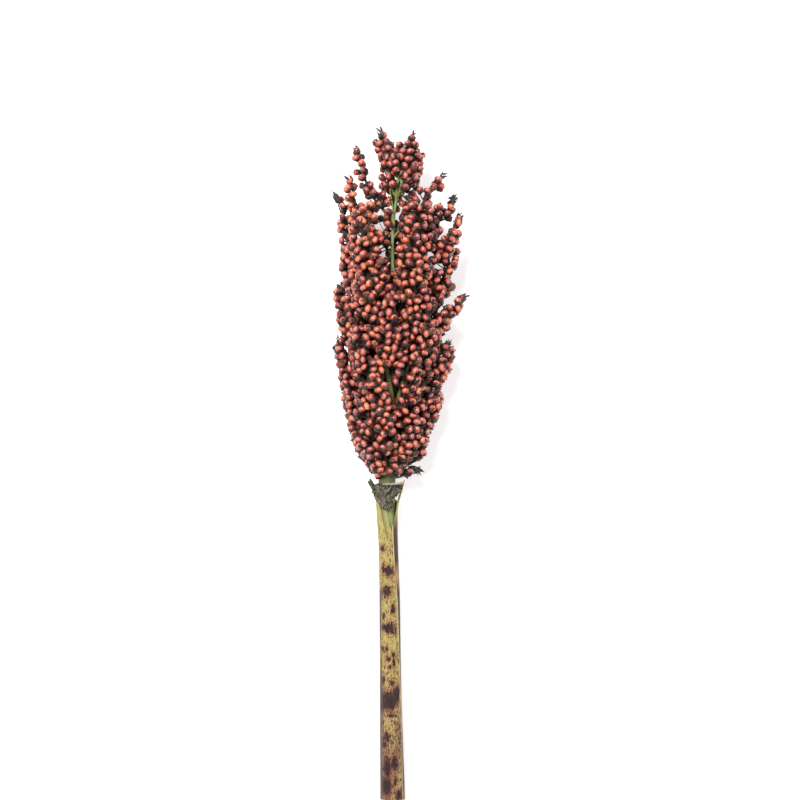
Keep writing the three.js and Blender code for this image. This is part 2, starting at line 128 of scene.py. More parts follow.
def ramp_between(value, low, high):
    t = min(max((value - low) / (high - low), 0), 1)
    return t * t * (3 - 2 * t)


def at(point):
    """A place on the plant, in the frame and in metres"""
    return (Matrix.Rotation(REST_SLOPE, 3, "X") @ Vector(point) + ORIGIN_SHIFT) / 1000


def round_axis(height, radius, azimuth):
    a = math.radians(azimuth)
    return Vector((along(LEAN, height) + radius * math.cos(a), height, radius * math.sin(a)))


def lowest_depth(height, margin):
    """The lowest depth that clears the surface by a margin"""
    return (margin - ORIGIN_SHIFT.z - height * math.sin(REST_SLOPE)) / math.cos(REST_SLOPE)


class Draw:
    """Seeded draws"""

    def __init__(self, seed):
        self.seed = seed

    def one(self, low=0.0, high=1.0):
        self.seed = (self.seed * 16807) % 2147483647
        return low + (high - low) * self.seed / 2147483647

    def spread(self):
        """A draw round 0 that rarely goes past 1"""
        return (self.one() + self.one() + self.one()) * 2 / 3 - 1

    def direction(self):
        z = self.one(-1, 1)
        a = self.one(0, 2 * math.pi)
        flat = math.sqrt(1 - z * z)
        return Vector((flat * math.cos(a), flat * math.sin(a), z))


draw = Draw(73101)


# Shader nodes, written as expressions
class Wire:
    """A socket in a material. Sums and products of it add Math nodes, and node() adds any other."""

    def __init__(self, tree, socket=None):
        self.tree = tree
        self.socket = socket

    def node(self, kind, settings, links, output=0):
        made = self.tree.nodes.new("ShaderNode" + kind)
        for name, value in settings.items():
            if name == "stops":
                ramp = made.color_ramp
                while len(ramp.elements) < len(value):
                    ramp.elements.new(0.5)
                for element, (place, colour) in zip(ramp.elements, value):
                    element.position = place
                    element.color = (*colour, 1)
            else:
                setattr(made, name, value)
        for name, value in links.items():
            if isinstance(value, Wire):
                self.tree.links.new(value.socket, made.inputs[name])
            else:
                made.inputs[name].default_value = value
        return Wire(self.tree, made.outputs[output])

    def maths(self, operation, first, second=0.0):
        return self.node("Math", {"operation": operation}, {0: first, 1: second})

    def __add__(self, other):
        return self.maths("ADD", self, other)

    __radd__ = __add__

    def __mul__(self, other):
        return self.maths("MULTIPLY", self, other)

    def __sub__(self, other):
        return self.maths("SUBTRACT", self, other)

    def __truediv__(self, other):
        return self.maths("DIVIDE", self, other)

    def rise(self, low, high):
        """0 below low, 1 above high and smooth between"""
        return self.node("MapRange", {"interpolation_type": "SMOOTHSTEP"},
                         {"Value": self, "From Min": low, "From Max": high})

    def least(self, other):
        return self.maths("MINIMUM", self, other)

    def most(self, other):
        return self.maths("MAXIMUM", self, other)

    def over(self, under, colour):
        """This as a mask that lays a colour over the one under it"""
        links = {0: self, 6: under, 7: colour if isinstance(colour, Wire) else (*colour, 1)}
        return self.node("Mix", {"data_type": "RGBA", "clamp_factor": True}, links, output=2)

    def tones(self, *stops):
        """A colour from a ramp of (place, colour) stops"""
        return self.node("ValToRGB", {"stops": stops}, {"Fac": self})

    def noise(self, scale, detail=2.0, roughness=0.5):
        """Noise at these coordinates"""
        return self.node("TexNoise", {}, {"Vector": self, "Scale": scale, "Detail": detail,
                                          "Roughness": roughness}, output="Fac")

    def stretched(self, scale, shift=(0, 0, 0)):
        """These coordinates, moved and scaled"""
        return self.node("Mapping", {}, {"Vector": self, "Scale": scale, "Location": shift})


class Finish:
    """A material with its main shader and the coordinates that its patterns read"""

    def __init__(self, name, constants):
        self.material = bpy.data.materials.new(name)
        self.material.use_nodes = True
        self.tree = self.material.node_tree
        self.shader = self.tree.nodes["Principled BSDF"]
        for socket, value in constants.items():
            self.shader.inputs[socket].default_value = value
        self.start = Wire(self.tree)
        self.here = self.start.node("TexCoord", {}, {}, output="Object")
        turned = {"Vector": self.here, "Location": ORIGIN_SHIFT / 1000,
                  "Rotation": (REST_SLOPE, 0, 0), "Scale": (0.001, 0.001, 0.001)}
        self.plant = self.start.node("Mapping", {"vector_type": "TEXTURE"}, turned)

    def parts(self, vector):
        """The three parts of a vector"""
        return [self.start.node("SeparateXYZ", {}, {0: vector}, output=i) for i in range(3)]

    def attribute(self, name, output="Fac"):
        return self.start.node("Attribute", {"attribute_name": name}, {}, output=output)

    def set(self, name, wire):
        self.tree.links.new(wire.socket, self.shader.inputs[name])

    def done(self, colour, roughness, relief, distance, strength):
        """The material with its colour, roughness and relief, whose full height is in millimetres"""
        self.set("Base Color", colour)
        if roughness:
            self.set("Roughness", roughness)
        bump = {"Height": relief, "Distance": distance / 1000, "Strength": strength}
        self.set("Normal", self.start.node("Bump", {}, bump))
        return self.material


# The finishes
def grain_finish():
    """Brick-red grain, with painted shade that turns it deep red from its middle to its foot, a pale pink
    tip that is partly wax and partly a painted highlight, and a bloom on the dull ones
    """
    finish = Finish("grain", {"Coat Weight": 0.55, "Coat Roughness": 0.16})
    ripe, dull, fleck = finish.parts(finish.attribute("tint", "Color"))
    end = finish.attribute("end")
    mottle = finish.here.noise(620, 3, 0.6)
    fine = finish.here.noise(2600, 2)
    ripeness = ripe + (mottle - 0.5) * 0.42 + (fine - 0.5) * 0.12
    colour = ripeness.tones(
        (0.0, (0.06, 0.017, 0.022)), (0.2, (0.18, 0.03, 0.04)), (0.42, (0.3, 0.028, 0.028)),
        (0.62, (0.44, 0.05, 0.028)), (0.8, (0.58, 0.105, 0.036)), (1.0, (0.7, 0.21, 0.07)))
    # Painted shade: deep red from the grain's middle down to its foot
    painted_foot_shade = end.rise(0.45, -0.5)
    colour = (painted_foot_shade * 0.7).over(colour, (0.11, 0.024, 0.024))
    # Pale pink towards the tip: partly the grain's wax, partly a painted highlight
    wax_and_highlight = end.rise(0.3, 0.95) * (0.3 + mottle * 0.6)
    colour = (wax_and_highlight * 0.75).over(colour, (0.78, 0.34, 0.23))
    bloom = mottle.rise(0.5, 0.7) * dull
    colour = (bloom * 0.55).over(colour, (0.36, 0.2, 0.19))
    dot = end.rise(0.94, 0.99) * fleck.rise(0.6, 0.75)
    colour = (dot * 0.7).over(colour, (0.06, 0.02, 0.016))
    roughness = 0.22 + dull * 0.25 + (fine - 0.5) * 0.14
    return finish.done(colour, roughness, mottle + fine * 0.3, 0.1, 0.5)


def glume_finish():
    """Black-brown husk, streaked lengthwise and paler at its rim"""
    finish = Finish("glume", {"Coat Weight": 0.1, "Specular IOR Level": 0.32})
    warm, dull, _ = finish.parts(finish.attribute("tint", "Color"))
    end = finish.attribute("end")
    streak = finish.here.stretched((1, 1, 0.5)).noise(1500, 3, 0.65)
    tone = warm + (streak - 0.5) * 0.7
    colour = tone.tones(
        (0.15, (0.014, 0.009, 0.007)), (0.5, (0.03, 0.015, 0.01)), (0.8, (0.065, 0.025, 0.02)),
        (1.0, (0.14, 0.055, 0.036)))
    hairs = streak.rise(0.56, 0.7) * dull
    colour = (hairs * 0.6).over(colour, (0.19, 0.15, 0.125))
    rim = end.rise(0.72, 1.0) * 0.5
    colour = rim.over(colour, (0.13, 0.075, 0.05))
    return finish.done(colour, 0.3 + dull * 0.3, streak, 0.12, 0.7)


def scale_finish():
    finish = Finish("dark scale", {})
    streak = finish.here.noise(1300, 3, 0.6)
    colour = streak.tones(
        (0.3, (0.012, 0.01, 0.011)), (0.55, (0.035, 0.026, 0.024)), (0.75, (0.13, 0.1, 0.09)))
    return finish.done(colour, 0.35 + streak * 0.25, streak, 0.1, 0.6)


def twig_finish():
    """Green stem with painted shade: dark brown where it lies deep between the grains"""
    finish = Finish("twig", {"Roughness": 0.62})
    depth = finish.attribute("depth")
    streak = finish.here.noise(900, 3, 0.6)
    green = (streak * 0.6 + 0.2).tones((0.2, (0.105, 0.11, 0.028)), (0.7, (0.24, 0.25, 0.08)))
    # Painted shade: dark brown by the stem's marked depth among the grains
    colour = (depth + (streak - 0.5) * 0.5).rise(0.25, 0.6).over(green, (0.035, 0.02, 0.016))
    return finish.done(colour, None, streak, 0.1, 0.5)


def paper_finish():
    finish = Finish("papery scrap", {"Roughness": 0.7})
    tone = finish.here.noise(1100, 2)
    colour = tone.tones((0.3, (0.2, 0.14, 0.1)), (0.55, (0.38, 0.29, 0.22)), (0.75, (0.55, 0.46, 0.37)))
    return finish.done(colour, None, tone, 0.08, 0.5)


def stalk_finish():
    """The green stalk and rachis, with a pale pith where it is cut and a painted shadow of the head that
    darkens it just below the head
    """
    finish = Finish("stalk", {})
    _, height, _ = finish.parts(finish.plant)
    lines = finish.plant.stretched((3.2, 0.09, 3.2)).noise(1.0, 4, 0.65)
    patches = finish.plant.stretched((0.5, 0.06, 0.5)).noise(1.0, 2)
    green = (lines * 0.7 + patches * 0.3).tones(
        (0.3, (0.1, 0.14, 0.035)), (0.48, (0.2, 0.27, 0.085)), (0.62, (0.36, 0.4, 0.15)),
        (0.75, (0.5, 0.5, 0.22)))
    brown = patches.rise(0.5, 0.66) * lines.rise(0.4, 0.55) * height.rise(200, 260)
    colour = (brown * 0.5).over(green, (0.16, 0.09, 0.045))
    # Painted shadow: dark green where the foot of the head shades the stalk
    painted_head_shadow = height.rise(166, 172) * height.rise(205, 185)
    colour = (painted_head_shadow * 0.85).over(colour, (0.075, 0.09, 0.018))
    pores = finish.plant.noise(2.3, 2)
    pith = pores.tones((0.35, (0.38, 0.3, 0.16)), (0.6, (0.62, 0.55, 0.36)))
    colour = height.rise(0.6, 0.12).over(colour, pith)
    return finish.done(colour, 0.42 + lines * 0.3, lines, 0.25, 0.7)


# Marks on the sheath as the photograph shows them from the front: (side, height, half width,
# half length, strength)
BLOTCHES = [
    (-5.1, 138, 1.0, 1.7, 0.8), (-1.7, 125.6, 2.2, 2.7, 0.9), (-4.8, 127.6, 0.7, 2.4, 0.6),
    (-2.9, 114.4, 1.9, 2.4, 0.95), (0.5, 105, 1.0, 2.4, 0.7), (-4.6, 101.2, 0.8, 1.3, 0.7),
    (-1.2, 94.6, 2.6, 2.3, 1), (-4.3, 94.8, 1.2, 1.6, 0.9), (2.0, 93, 0.5, 2.7, 0.9),
    (-2.9, 83, 0.7, 1.7, 0.7), (-5.1, 83.1, 0.7, 1.3, 0.6), (0.8, 79.8, 0.9, 1.5, 0.7),
    (-2.0, 77.6, 1.0, 1.3, 0.8), (1.0, 75.3, 0.7, 2.4, 0.7), (-1.2, 73.2, 0.9, 1.0, 0.7),
    (-3.2, 35.8, 0.9, 1.2, 0.8), (-4.3, 34.1, 0.8, 1.2, 0.7), (-2.5, 33.6, 0.8, 1.4, 0.8),
    (-4.2, 30.3, 1.0, 1.3, 0.8), (-1.5, 35.2, 0.8, 1.1, 0.7), (1.3, 20.4, 1.5, 3.5, 0.85),
    (-2.6, 18.2, 1.9, 4.2, 0.95), (-3.5, 8.2, 2.7, 4.1, 1), (3.8, 3.1, 1.5, 2.4, 0.85),
    (1.8, 11, 0.7, 2.6, 0.6), (0.2, 64, 1.1, 1.6, 0.55), (-4.6, 66, 0.9, 1.8, 0.6),
    (-0.4, 46.5, 2.3, 0.9, 0.45)]
BAND_HEIGHT = 54.4  # of the dark band right across the sheath
BAND_HALF_LENGTH = 4.1


def sheath_finish():
    """Dry yellow leaf sheath, veined lengthwise, with purple-brown blotches edged in red"""
    finish = Finish("sheath", {"Specular IOR Level": 0.25})
    side, height, depth = finish.parts(finish.plant)
    veins = finish.plant.stretched((3.4, 0.05, 3.4)).noise(1.0, 4, 0.7)
    broad = finish.plant.stretched((0.45, 0.045, 0.45)).noise(1.0, 3)
    ragged = finish.plant.stretched((0.95, 0.4, 0.95)).noise(1.0, 5, 0.72)
    specks = finish.plant.stretched((1.15, 0.62, 1.15), (7, 3, 5)).noise(1.0, 3, 0.55)
    base = (veins * 0.75 + broad * 0.25).tones(
        (0.34, (0.19, 0.15, 0.04)), (0.46, (0.345, 0.28, 0.085)), (0.57, (0.5, 0.42, 0.15)),
        (0.72, (0.7, 0.6, 0.27)))
    olive = broad.rise(0.42, 0.6) * height.rise(60, 112)
    colour = (olive * 0.45).over(base, (0.27, 0.28, 0.07))
    brown = height.rise(78, 30) * (0.3 + broad.rise(0.6, 0.4) * 0.7)
    colour = (brown * 0.72).over(colour, (0.19, 0.145, 0.085))
    # Each blotch is an ellipse whose rim the noise tears
    nearest = None
    for mark_side, mark_height, half_width, half_length, strength in BLOTCHES:
        x = (side - mark_side) / half_width
        y = (height - mark_height) / half_length
        away = finish.start.maths("SQRT", x * x + y * y) + (1 - strength) * 0.6
        nearest = away if nearest is None else nearest.least(away)
    slant = (side - 0.4).most(0) * 1.4  # the band ends in a slant to the right
    band = finish.start.maths("ABSOLUTE", height - BAND_HEIGHT - slant) / BAND_HALF_LENGTH
    nearest = nearest.least(band + side.rise(3.4, 5) * 2)
    torn = nearest + (ragged - 0.5) * 5.5
    front = depth.rise(-0.6, 1.2)
    drawn = torn.rise(1.5, 0.9) * front
    # Mottling and specks all round, strongest low down and at the back
    low = height.rise(96, 40)
    mottled = (ragged + low * 0.05 - front * 0.02).rise(0.56, 0.605) * height.rise(156, 140)
    small = (specks + low * 0.03).rise(0.6, 0.64) * height.rise(152, 138)
    stain = drawn.most(mottled * 0.85).most(small * 0.9)
    red = (torn.rise(2.2, 1.2) * front).most((ragged + low * 0.05).rise(0.5, 0.57) * 0.65)
    halo = (specks + low * 0.03).rise(0.555, 0.6) * height.rise(152, 138)
    colour = (red.most(halo) * 0.72).over(colour, (0.27, 0.058, 0.042))
    dark = (veins * 0.6 + ragged * 0.4).tones(
        (0.38, (0.006, 0.005, 0.006)), (0.5, (0.017, 0.009, 0.011)), (0.66, (0.07, 0.026, 0.026)))
    colour = (stain * 0.96).over(colour, dark)
    # Darker grey-purple in patches along its left edge, low down
    worn = side.rise(-4.4, -5.8) * (broad + low * 0.04).rise(0.42, 0.5) * height.rise(124, 114)
    colour = (worn * 0.85).over(colour, (0.075, 0.055, 0.06))
    # The strip of the inner layer that shows beside the free edge
    strip = finish.attribute("strip")
    bands = (height + ragged * 6) / 170
    strip_colour = bands.tones(
        (0.03, (0.36, 0.1, 0.1)), (0.07, (0.06, 0.022, 0.035)), (0.22, (0.05, 0.02, 0.03)),
        (0.31, (0.33, 0.15, 0.12)), (0.41, (0.045, 0.018, 0.022)), (0.69, (0.035, 0.016, 0.02)),
        (0.74, (0.4, 0.25, 0.14)), (0.79, (0.035, 0.015, 0.022)), (0.89, (0.06, 0.025, 0.025)),
        (0.95, (0.34, 0.27, 0.11)))
    strip_colour = (veins.rise(0.52, 0.7) * 0.3).over(strip_colour, (0.3, 0.18, 0.11))
    colour = (strip * 0.95).over(colour, strip_colour)
    edge = finish.attribute("edge")
    colour = (edge * 0.6).over(colour, (0.7, 0.62, 0.4))
    return finish.done(colour, 0.4 + veins * 0.28 - stain * 0.1, veins, 0.28, 0.8)


def stub_finish():
    """Withered leaf: dark and ribbed, with a pale torn edge"""
    finish = Finish("dry leaf", {"Specular IOR Level": 0.2})
    worn = finish.attribute("worn")
    # The ribs run up and to the right
    fanned = {"Vector": finish.plant, "Rotation": (0, 0, -0.6), "Scale": (0.36, 3.2, 0.36)}
    ribs = finish.plant.node("Mapping", {"vector_type": "TEXTURE"}, fanned).noise(1.0, 2, 0.5)
    blotch = finish.plant.noise(0.45, 3)
    side, height, _ = finish.parts(finish.plant)
    colour = (ribs * 0.6 + blotch * 0.4).tones(
        (0.38, (0.01, 0.008, 0.007)), (0.48, (0.03, 0.025, 0.019)), (0.57, (0.13, 0.11, 0.08)),
        (0.68, (0.33, 0.28, 0.21)))
    thin = side.rise(-5.5, -8.2) * blotch.rise(0.35, 0.6)
    colour = (thin * 0.3).over(colour, (0.15, 0.17, 0.07))
    grey = height.rise(168, 165) * side.rise(-2.4, -4.4) * ribs.rise(0.4, 0.55)
    colour = (grey * 0.45).over(colour, (0.3, 0.25, 0.21))
    pale = (worn + (ribs - 0.5) * 0.9).rise(0.55, 0.85) * side.rise(-7, -3.5)
    colour = (pale * 0.85).over(colour, (0.52, 0.41, 0.35))
    return finish.done(colour, 0.62 + ribs * 0.3, ribs, 0.3, 0.8)


def floor_finish():
    """White ground that glows a little, so that it stays white in the shade of the head"""
    glow = {"Emission Color": (1, 1, 1, 1), "Emission Strength": 0.48}
    finish = Finish("pale floor", {"Roughness": 0.9, **glow})
    tone = finish.here.noise(4, 2)
    finish.set("Base Color", tone.tones((0.3, (0.9, 0.9, 0.9)), (0.7, (0.925, 0.925, 0.925))))
    return finish.material


# Modelling helpers
def select(*pieces):
    """Selects these pieces alone and makes the first of them the active one"""
    bpy.ops.object.select_all(action="DESELECT")
    for piece in pieces:
        piece.select_set(True)
    bpy.context.view_layer.objects.active = pieces[0]


def linked(name, data):
    """A new object in the scene"""
    made = bpy.data.objects.new(name, data)
    bpy.context.collection.objects.link(made)
    return made


def finished(piece, name, material, smooth=None):
    """Names a piece, gives it its material and smooths it, with edges sharper than an angle kept"""
    piece.name = name
    piece.data.name = name
    piece.data.materials.clear()
    piece.data.materials.append(material)
    select(piece)
    if smooth is None:
        bpy.ops.object.shade_smooth()
    else:
        bpy.ops.object.shade_smooth_by_angle(angle=math.radians(smooth))


def placed(piece, name, material, nodes=(), smooth=None):
    """Finishes a piece and puts it on the part"""
    finished(piece, name, material, smooth)
    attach(piece, "root")
    if nodes:
        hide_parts(*nodes)


def mark(piece, name, values):
    """Writes a value on each point of a piece, for its finish to read"""
    layer = piece.data.attributes.new(name, "FLOAT", "POINT")
    layer.data.foreach_set("value", values)


def mark_none(piece, *names):
    """Writes 0 on each point, for the finishes that a plain piece shares with a marked one"""
    for name in names:
        mark(piece, name, [0.0] * len(piece.data.vertices))


def shaped(piece, steps):
    """Shapes a new mesh in edit mode: each step selects the points that pass its test, then moves or
    resizes them"""
    bpy.ops.object.mode_set(mode="EDIT")
    bpy.ops.mesh.select_mode(type="VERT")
    for test, operator, value in steps:
        mesh = bmesh.from_edit_mesh(piece.data)
        for vertex in mesh.verts:
            vertex.select = test(vertex.co)
        mesh.select_flush(True)
        bmesh.update_edit_mesh(piece.data)
        operator(value=value)
    bpy.ops.object.mode_set(mode="OBJECT")
    return piece


def ball(segments, rings, steps):
    """A sphere that the steps shape"""
    bpy.ops.mesh.primitive_uv_sphere_add(segments=segments, ring_count=rings, radius=1)
    return shaped(bpy.context.object, steps)


def mark_ends(piece, low, high):
    """Marks each point by its place between the two ends of a pattern, from -1 to 1"""
    mark(piece, "end", [2 * (v.co.z - low) / (high - low) - 1 for v in piece.data.vertices])


def copies(pattern, placings):
    """Copies of a pattern in millimetres, one for each (matrix, tint), joined in one piece"""
    bpy.ops.object.select_all(action="DESELECT")
    count = len(pattern.data.vertices)
    for matrix, tint in placings:
        mesh = pattern.data.copy()
        mesh.transform(matrix)
        layer = mesh.attributes.new("tint", "FLOAT_COLOR", "POINT")
        layer.data.foreach_set("color", [*tint, 1] * count)
        made = linked("copy", mesh)
        made.select_set(True)
    bpy.context.view_layer.objects.active = made
    bpy.ops.object.join()
    return made


def rods(name, lines, sides):
    """Tapered round rods: each line is a list of (point on the plant, radius)"""
    curve = bpy.data.curves.new(name, "CURVE")
    curve.dimensions = "3D"
    curve.bevel_depth = 0.001
    curve.bevel_resolution = sides // 2 - 2
    curve.use_fill_caps = True
    for line in lines:
        spline = curve.splines.new("POLY")
        spline.points.add(len(line) - 1)
        for point, (place, radius) in zip(spline.points, line):
            point.co = (*at(place), 1)
            point.radius = radius
    select(linked(name, curve))
    bpy.ops.object.convert(target="MESH")
    return bpy.context.view_layer.objects.active


def sheet(name, columns, rows, point_at, wall):
    """A curved sheet with a wall: a grid whose points are laid out by point_at(across, up)"""
    bpy.ops.mesh.primitive_grid_add(x_subdivisions=columns, y_subdivisions=rows, size=2)
    piece = bpy.context.object
    for vertex in piece.data.vertices:
        vertex.co = at(point_at((vertex.co.x + 1) / 2, (vertex.co.y + 1) / 2))
    bpy.ops.object.mode_set(mode="EDIT")
    bpy.ops.mesh.select_all(action="SELECT")
    bpy.ops.mesh.flip_normals()
    bpy.ops.object.mode_set(mode="OBJECT")
    solidify = piece.modifiers.new("wall", "SOLIDIFY")
    solidify.thickness = wall / 1000
    solidify.offset = -1
    bpy.ops.object.modifier_apply(modifier="wall")
    return piece


# The branches
def root_height(tip):
    """The height at which a branch leaves the rachis, by the height of its tip"""
    return HEAD_BASE + ROOT_CLIMB * max(0, tip - LOWEST_TIP) ** ROOT_CLIMB_POWER


def branch_to(height, reach, azimuth, group, root=None, bow=BOW, full=None):
    return {"root": root or root_height(height), "tip": height, "reach": reach, "azimuth": azimuth,
            "bow": bow, "full": full or along(FULLNESS, height), "group": group}


def side_branch(group, height, side, depth, *shape):
    across = side - along(LEAN, height)
    azimuth = math.degrees(math.atan2(depth, across))
    return branch_to(height, math.hypot(across, depth), azimuth, group, *shape)


def face_branch(group, height, azimuth):
    return branch_to(height, along(HEAD_RADIUS, height) * HEAD_DEPTH_RATIO, azimuth, group)


CROWN_EXTRAS = [side_branch("crown", *tip) for tip in CROWN_FILLERS]
BRANCHES = sorted(
    [side_branch("left", *tip) for tip in LEFT_TIPS]
    + [side_branch("right", *tip) for tip in RIGHT_TIPS]
    + [side_branch("crown", *tip) for tip in CROWN_TIPS] + CROWN_EXTRAS
    + [face_branch("front", height, azimuth) for height, azimuth in FACE_TIPS]
    + [face_branch("back", height - BACK_LOWER, azimuth + 180) for height, azimuth in FACE_TIPS],
    key=lambda branch: -branch["tip"])


def branch_point(branch, t):
    """Its middle at a place from its root (0) to its tip (1)"""
    height = branch["root"] + (branch["tip"] - OUTLINE_INSET - branch["root"]) * t
    start = along(STALK_RADIUS, branch["root"]) - ROOT_SINK
    thick = along(CORE_DEPTH, t) * branch["full"]
    end = branch["reach"] - OUTLINE_INSET - thick
    point = round_axis(height, start + (end - start) * (1 - (1 - t) ** branch["bow"]), branch["azimuth"])
    point.z = max(point.z, lowest_depth(height, GRAIN_RISE + thick * BELOW_SHARE))
    return point


def branch_frame(branch, t):
    """Its middle there, and the directions onwards, outward and across"""
    middle = branch_point(branch, t)
    onwards = (branch_point(branch, min(t + 0.05, 1)) - branch_point(branch, max(t - 0.05, 0))).normalized()
    a = math.radians(branch["azimuth"])
    outward = onwards.cross(Vector((-math.sin(a), 0, math.cos(a)))).normalized()
    return middle, onwards, outward, outward.cross(onwards)


# The grains: where they sit, before they are modelled
GRAIN_SPACING = 3.72  # least distance between two grains' middles, before they settle
SETTLED_SPACING = 4.05
SETTLE_ROUNDS = 7
SETTLE_SHARE = 0.4  # of the missing distance that a grain moves in one round
LONGEST_PUSH = 1.2  # a grain that would go further stays
GRAIN_CLEARANCE = 2.78  # of a grain's middle from the surface and the stalk
EDGE_MARGIN = 1.7  # of a grain's middle from the outline
GAP_MARGIN = 1.6  # and from the edge of a gap
# The rachis shows in a cleft down the front of the upper head
CLEFT_LOW = 289
CLEFT_HIGH = 338
CLEFT_HALF_WIDTH = 2.6
CLEFT_BACK = -2
HOLLOW_FROM = 0.3  # the hollows are in front of this share of the head's radius

# On each branch: the twigs' draws, then the single ones deeper in
CLOTHED_FROM = 0.34
THICK_FROM = 0.55  # of the way to its tip, where a branch has its full size
BRANCH_STEPS = 60
TWIG_DRAWS = 120
TWIG_LENGTH = 5  # of a twig's foot below its grain
GRAINS_ON_TWIG = 5
GRAIN_STEP = (1.7, 2.5)  # from one grain of a twig to its next, up the branch
GRAIN_SIDESTEP = 1.7
INNER_DRAWS = 230

# Between the branches: the crown, the curtain behind the cleft, and the rest
CROWN_DRAWS = 1100
CROWN_MIDDLE = Vector((4.6, 351.5, 0.5))
CROWN_SIZE = Vector((13.2, 9.2, 10))
CURTAIN_DRAWS = 620
CURTAIN_HEIGHTS = (280, 340)
CURTAIN_HALF_WIDTH = 18
CURTAIN_DEPTHS = (-14, 5)
FILL_DRAWS = 13000
FILL_HEIGHTS = (178, 326)
FILL_INSET = (6.5, 16)  # from the outline
FILL_REACH = 5  # the least distance from the axis
LINE_STEPS = 30

# Places where light shows through the head: (side, height, radius)
LIGHT_GAPS = [
    (4.7, 340, 1.9), (-1.9, 332.8, 1.2), (6.4, 330.8, 1.3), (-9.2, 322.8, 1.3), (-5.5, 323.4, 1.3),
    (-6.3, 315.7, 2.3), (-17.6, 310.6, 2.5), (-5.4, 303.5, 1.5), (-5, 298.8, 1.5), (23.5, 332, 1.8),
    (28.4, 317, 2.3), (17, 329, 1.9), (20.9, 299.2, 1.7), (2.75, 226, 0.6), (7.2, 238.7, 0.7),
    (11.6, 250.3, 0.8), (8, 236.5, 0.8), (3, 216, 0.9), (22, 265, 1.3), (26, 269, 1.7), (30, 273.5, 1.7),
    (33.5, 277, 1.7), (24.8, 293.2, 1.9), (-25.3, 277.8, 0.9), (-13.2, 357, 1.9), (-24.5, 346, 1.6),
    (-18.2, 334, 0.9), (22, 349, 2.6), (20.8, 344.5, 1), (34.5, 340, 2), (-29, 341, 2), (36, 286.5, 1.8)]
# Dark hollows in its front, between the lobes
HOLLOWS = [
    (-14.3, 232, 2.4), (-16, 210.6, 2), (4.4, 270, 2.2), (-25.9, 239, 1.6), (-1.7, 199, 1.8),
    (13.2, 187.5, 2), (-11, 245.9, 2.6), (-18.7, 249.7, 2.2), (17.6, 219.5, 2), (18.7, 229.4, 2.2),
    (-6.6, 274.5, 1.6), (12.7, 280, 1.8), (-12.1, 197.5, 1.8), (4.4, 203, 1.4), (-23.1, 225, 1.4),
    (25.3, 241.5, 1.6), (18.2, 205.7, 1.6), (-22, 274.5, 1.8), (-14, 288, 1.7), (20, 300, 1.6),
    (-13, 262, 1.5), (10, 215, 1.5), (-8, 222, 1.4), (27, 258, 1.5), (0.8, 220, 1.2), (-0.5, 225, 1.9),
    (-1.8, 231, 2.2), (-2.4, 236, 1.5), (3.6, 224, 1.5), (6.4, 230, 1.8), (9, 236.5, 1.9),
    (-18, 262, 1.7), (9, 291, 1.6), (-5, 252, 1.3), (16, 212, 1.7), (-20, 216, 1.5), (-3, 187, 1.5),
    (22, 283, 1.5), (-24, 296, 1.5), (14, 318.5, 1.4), (19.5, 311.6, 1.3), (10, 306, 1.2),
    (-20.4, 319, 1.2), (-12, 301, 1.2)]
# The outline of the head to its left and right: (height, side)
LEFT_EDGE = [
    (176, -9), (183, -13), (190, -19.5), (200, -23), (210, -25.5), (222, -28.2), (236, -30), (255, -33.6),
    (264, -30.5), (282.5, -33.6), (293, -29.5), (305, -28.8), (312, -31.8), (325, -29), (333, -32),
    (338, -26), (343, -24), (348, -21), (358, -22), (362, -9), (369, -8)]
RIGHT_EDGE = [
    (176, 6), (182, 17), (186, 19.5), (196, 20), (205, 23.5), (220, 29), (240, 33.5), (251, 36.5),
    (262, 32), (270, 38.5), (278, 41), (284, 33), (292, 35.8), (305, 38), (322, 38), (329, 34),
    (333, 34.5), (339, 27.5), (345, 28), (352, 19.5), (358, 19), (366, 12), (369, 8)]


class Cluster:
    """The grains of the head, kept apart from each other as they are added"""

    def __init__(self):
        self.grains = []
        self.cells = {}

    def cell(self, point):
        return tuple(int(math.floor(c / GRAIN_SPACING)) for c in point)

    def is_free(self, point):
        cx, cy, cz = self.cell(point)
        for x in (cx - 1, cx, cx + 1):
            for y in (cy - 1, cy, cy + 1):
                for z in (cz - 1, cz, cz + 1):
                    for other in self.cells.get((x, y, z), ()):
                        if (other - point).length < GRAIN_SPACING:
                            return False
        return True

    def offer(self, point, foot, branch):
        """Adds a grain at a point if there is room, on a twig from its foot"""
        if is_kept_clear(point) or not self.is_free(point):
            return
        self.grains.append({"place": point, "foot": foot, "branch": branch})
        self.cells.setdefault(self.cell(point), []).append(point.copy())


def is_kept_clear(point):
    """Whether a place is in the surface, in the stalk, in a gap or past the outline"""
    if point.z < lowest_depth(point.y, GRAIN_CLEARANCE - 0.01):
        return True
    side = point.x - along(LEAN, point.y)
    if math.hypot(side, point.z) < along(STALK_RADIUS, point.y) + GRAIN_CLEARANCE:
        return True
    if CLEFT_LOW < point.y < CLEFT_HIGH and abs(side) < CLEFT_HALF_WIDTH and point.z > CLEFT_BACK:
        return True
    if not along(LEFT_EDGE, point.y) + EDGE_MARGIN < point.x < along(RIGHT_EDGE, point.y) - EDGE_MARGIN:
        return True
    gaps = LIGHT_GAPS
    if point.z > along(HEAD_RADIUS, point.y) * HOLLOW_FROM:
        gaps = LIGHT_GAPS + HOLLOWS
    return any((point.x - x) ** 2 + (point.y - y) ** 2 < (r + GAP_MARGIN) ** 2 for x, y, r in gaps)


def half_sizes(branch, t):
    """How far the middles of its grains lie from the middle line: across and outward"""
    if t < THICK_FROM:
        wide = 5.2 + 3.3 * ramp_between(t, 0.3, THICK_FROM)
        deep = 4.2 + 1.3 * ramp_between(t, 0.3, THICK_FROM)
    else:
        wide = along(CORE_WIDTH, t) + 1.6
        deep = along(CORE_DEPTH, t) + 1.3
    return wide * branch["full"], deep * branch["full"] ** 0.5


